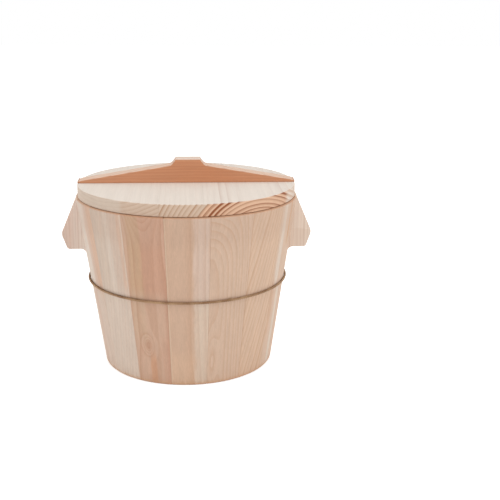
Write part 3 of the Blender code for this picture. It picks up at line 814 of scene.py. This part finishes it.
# The middle and right boards are sawn from one plank, so its rings run on over their seam
PLANK = {
    "early": CREAM, "blotch": PALE, "pith": (129.8, 62.0), "ring": 3.7, "ring_jitter": 0.5, "contrast": 0.07,
    "wander": 0.8, "fibre": 0.08, "end_contrast": 1.15, "end_tone": (0.62, 0.465, 0.35), "end_amount": 0.9,
    "late": (0.42, 0.245, 0.15), "heart": (63.65, (0.73, 0.46, 0.30), (0.28, 0.09, 0.035)),
    "bark": (91.5, (0.77, 0.67, 0.58), (0.60, 0.43, 0.32)), "dark_years": (55.0, 3.8, 3.4), "seed": 21.0,
}
BOARD_LOOKS = {
    "lid_board_left": {
        "early": CREAM, "blotch": PALE, "pith": (262.0, -78.0), "ring": 3.4, "contrast": 0.07,
        "wander": 1.6, "fibre": 0.08, "end_contrast": 0.6, "end_tone": (0.605, 0.49, 0.395),
        "end_amount": 0.8, "late": (0.52, 0.39, 0.29),
        "bark": (-58.0, (0.60, 0.445, 0.335), (0.42, 0.25, 0.155)), "seed": 20.0,
    },
    "lid_board_middle": PLANK,
    "lid_board_right": PLANK,
}


def build_lid():
    whole = lid_mesh()
    groove = dovetail_mesh(0.0, GROOVE_DEPTH, 2 * LID_RADIUS)
    beyond = 2 * LID_RADIUS
    edges = (-beyond, LEFT_BOARD_SEAM, RIGHT_BOARD_SEAM, beyond)
    for index, (node, look) in enumerate(BOARD_LOOKS.items()):
        low = edges[index] + LID_SEAM_GAP / 2
        high = edges[index + 1] - LID_SEAM_GAP / 2
        mesh = combined(cut_board(whole, low, high), groove.copy(), "DIFFERENCE")
        shade(mesh)
        board = add_object(f"{node}_wood", mesh)
        mesh.materials.append(wood(f"{node}_wood", **LID_BOARD, **look))
        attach(board, "lid")
        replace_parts(board, node)


# Handle batten


def batten_height(x):
    """Height of the batten's top above the lid: straight arms, then a rounded step up to the grip."""
    away = abs(x)
    foot = GRIP_HALF_LENGTH + GRIP_FOOT_LENGTH + math.copysign(GRIP_SHIFT, x)
    if away >= foot:
        t = (BATTEN_END - away) / (BATTEN_END - foot)
        return BATTEN_END_HEIGHT + (BATTEN_NECK_HEIGHT - BATTEN_END_HEIGHT) * t
    t = min(1.0, (foot - away) / GRIP_FOOT_LENGTH)
    return BATTEN_NECK_HEIGHT + (GRIP_HEIGHT - BATTEN_NECK_HEIGHT) * (1 - math.cos(math.pi * t / 2))


def batten_ring(x, inset):
    half = BATTEN_WIDTH / 2 - inset
    base = LID_TOP + BATTEN_SEAT_GAP
    top = LID_TOP + batten_height(x) - inset
    corners = [(-half, base, 0.0), (-half, top, BATTEN_ARRIS), (half, top, BATTEN_ARRIS), (half, base, 0.0)]
    return [(x, y, z) for y, z in rounded_outline(corners, 6)]


def batten_mesh():
    turns = [math.pi / 2 * k / 3 for k in range(3, -1, -1)]
    end = [(BATTEN_END - BATTEN_END_ROUND * (1 - math.sin(turn)), BATTEN_END_ROUND * (1 - math.cos(turn)))
           for turn in turns]
    halves = []
    for side in (-1, 1):
        foot = GRIP_HALF_LENGTH + GRIP_FOOT_LENGTH + side * GRIP_SHIFT
        arm_end = BATTEN_END - BATTEN_END_ROUND
        arm = [arm_end - (arm_end - foot) * k / 24 for k in range(1, 24)]
        step = [foot - GRIP_FOOT_LENGTH * k / 14 for k in range(15)]
        half = end[::-1] + [(x, 0.0) for x in arm + step]
        halves.append([(side * x, inset) for x, inset in half])
    stations = halves[0] + [(0.0, 0.0)] + halves[1][::-1]
    return loft("batten", [batten_ring(x, inset) for x, inset in stations])


# The batten's orange front is its wood. Its paler top is partly a paler cut and partly a painted sheen, which
# reaches down the cove at the grip's foot and is whitest on the grip's top.
BATTEN_LOOK = {
    "axes": GRAIN_ALONG_X, "early": (0.545, 0.235, 0.118), "late": (0.42, 0.15, 0.065),
    "blotch": (0.595, 0.295, 0.17), "blotch_amount": 0.7, "pith": (110.0, -30.0), "ring": 2.8,
    "contrast": 0.5, "wander": 2.6, "sheen_tone": (0.70, 0.525, 0.41), "sheen_amount": 0.92,
    "sheen_from": (0.25, 0.7), "crown": (193.8, 198.0, (0.74, 0.615, 0.52)), "end_tone": (0.50, 0.27, 0.15),
    "seed": 31.0,
}


def build_batten():
    tongue = dovetail_mesh(TONGUE_CLEARANCE, GROOVE_DEPTH - TONGUE_CLEARANCE, LID_RADIUS - TONGUE_END_INSET)
    mesh = combined(batten_mesh(), tongue, "UNION")
    shade(mesh, 25)
    batten = add_object("lid_handle_batten_wood", mesh)
    mesh.materials.append(wood("lid_handle_batten_wood", **BATTEN_LOOK))
    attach(batten, "lid")
    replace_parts(batten, "lid_handle_batten")


# Grate and pins, which keep their solids


BAMBOO = {
    "early": (0.66, 0.54, 0.32), "blotch": (0.60, 0.46, 0.26), "late": (0.42, 0.29, 0.14), "ring": 0.9,
    "pith": (-20.0, 4.0), "contrast": 0.5, "fibre": 0.16, "seed": 41.0, "roughness": 0.45,
}


def dress_hidden_nodes():
    bamboo = wood("bamboo", **BAMBOO)
    for node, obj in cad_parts.items():
        if obj.hide_render:
            continue
        if node.startswith(("grate_slat", "grate_bearer")):
            along = GRAIN_ALONG_X if "slat" in node else GRAIN_ALONG_Y
            seed = 50.0 + sum(ord(letter) for letter in node) % 17
            material = wood(
                f"{node}_wood", axes=along, early=TAN, blotch=PALE, pith=(-40.0, 30.0 - seed % 7 * 8.0),
                ring=2.6, contrast=0.35, seed=seed, roughness=0.6,
            )
            bevel = obj.modifiers.new("ease", "BEVEL")
            bevel.width = GRATE_EDGE_ROUND
            bevel.segments = 3
            bevel.limit_method = "ANGLE"
            bevel.angle_limit = math.radians(50)
        else:
            material = bamboo
        obj.data.materials.clear()
        obj.data.materials.append(material)


# Stage

SKY_STRENGTH = 0.74
FLOOR_GLOW = 0.5
FLOOR_TONE = 0.89
FLOOR_SIZE = 6.0
FLOOR_DROP = 0.0002
WHITE = (1.0, 1.0, 1.0, 1.0)
# Name, place, what it points at, width and power
SOFTBOXES = (
    ("overhead_softbox", (0.1, -0.3, 1.4), (0.0, 0.0, 0.1), 1.5, 7.0),
    ("left_softbox", (-1.3, -0.7, 0.6), (0.0, 0.0, 0.09), 0.9, 3.0),
    ("right_softbox", (1.3, -0.8, 0.6), (0.0, 0.0, 0.09), 0.9, 4.0),
)


def seen_directly(tree):
    """1 for the rays that should find plain white: the camera's, and those that gloss or clear parts send."""
    path = tree.nodes.new("ShaderNodeLightPath")
    seen = path.outputs["Is Camera Ray"]
    for kind in ("Is Glossy Ray", "Is Transmission Ray"):
        either = tree.nodes.new("ShaderNodeMath")
        either.operation = "MAXIMUM"
        tree.links.new(seen, either.inputs[0])
        tree.links.new(path.outputs[kind], either.inputs[1])
        seen = either.outputs[0]
    return seen


def build_floor():
    bm = bmesh.new()
    bmesh.ops.create_grid(bm, x_segments=1, y_segments=1, size=FLOOR_SIZE)
    floor = add_object("floor", mesh_from(bm, "floor"))
    floor.location.z = -FLOOR_DROP
    material = bpy.data.materials.new("floor")
    material.use_nodes = True
    tree = material.node_tree
    shader = tree.nodes["Principled BSDF"]
    shader.inputs["Base Color"].default_value = (FLOOR_TONE, FLOOR_TONE, FLOOR_TONE, 1.0)
    shader.inputs["Roughness"].default_value = 0.9
    shader.inputs["Specular IOR Level"].default_value = 0.0
    shader.inputs["Emission Color"].default_value = WHITE
    glow = tree.nodes.new("ShaderNodeMath")
    glow.operation = "MULTIPLY"
    glow.inputs[1].default_value = FLOOR_GLOW
    tree.links.new(seen_directly(tree), glow.inputs[0])
    tree.links.new(glow.outputs[0], shader.inputs["Emission Strength"])
    floor.data.materials.append(material)


def build_world():
    world = bpy.data.worlds.new("studio")
    world.use_nodes = True
    bpy.context.scene.world = world
    tree = world.node_tree
    soft = tree.nodes["Background"]
    soft.inputs["Color"].default_value = WHITE
    soft.inputs["Strength"].default_value = SKY_STRENGTH
    white = tree.nodes.new("ShaderNodeBackground")
    white.inputs["Color"].default_value = WHITE
    white.inputs["Strength"].default_value = 1.0
    mixed = tree.nodes.new("ShaderNodeMixShader")
    tree.links.new(seen_directly(tree), mixed.inputs[0])
    tree.links.new(soft.outputs[0], mixed.inputs[1])
    tree.links.new(white.outputs[0], mixed.inputs[2])
    tree.links.new(mixed.outputs[0], tree.nodes["World Output"].inputs["Surface"])


def add_area_light(name, place, target, size, power):
    light = bpy.data.lights.new(name, "AREA")
    light.shape = "SQUARE"
    light.size = size
    light.energy = power
    lamp = add_object(name, light)
    lamp.location = place
    lamp.rotation_euler = (Vector(target) - Vector(place)).to_track_quat("-Z", "Y").to_euler()


def add_camera():
    camera = bpy.data.cameras.new("camera")
    camera.sensor_width = SENSOR_WIDTH
    camera.lens = FOCAL_PIXELS / IMAGE_SIZE * SENSOR_WIDTH
    camera.clip_start = 0.01
    obj = add_object("camera", camera)
    ahead = Vector((
        math.sin(CAMERA_YAW) * math.cos(CAMERA_PITCH),
        math.cos(CAMERA_YAW) * math.cos(CAMERA_PITCH),
        -math.sin(CAMERA_PITCH),
    ))
    level = Vector((math.cos(CAMERA_YAW), -math.sin(CAMERA_YAW), 0.0))
    above = level.cross(ahead)
    right = math.cos(CAMERA_ROLL) * level + math.sin(CAMERA_ROLL) * above
    up = math.cos(CAMERA_ROLL) * above - math.sin(CAMERA_ROLL) * level
    turn = Matrix((right, up, -ahead)).transposed().to_4x4()
    obj.matrix_world = Matrix.Translation(CAMERA_PLACE) @ turn
    bpy.context.scene.camera = obj


def main():
    bpy.context.scene.view_settings.view_transform = "Standard"
    add_camera()
    build_wall()
    build_hoop(wire("hoop_wire"))
    build_lid()
    build_batten()
    dress_hidden_nodes()
    build_floor()
    build_world()
    for softbox in SOFTBOXES:
        add_area_light(*softbox)


main()
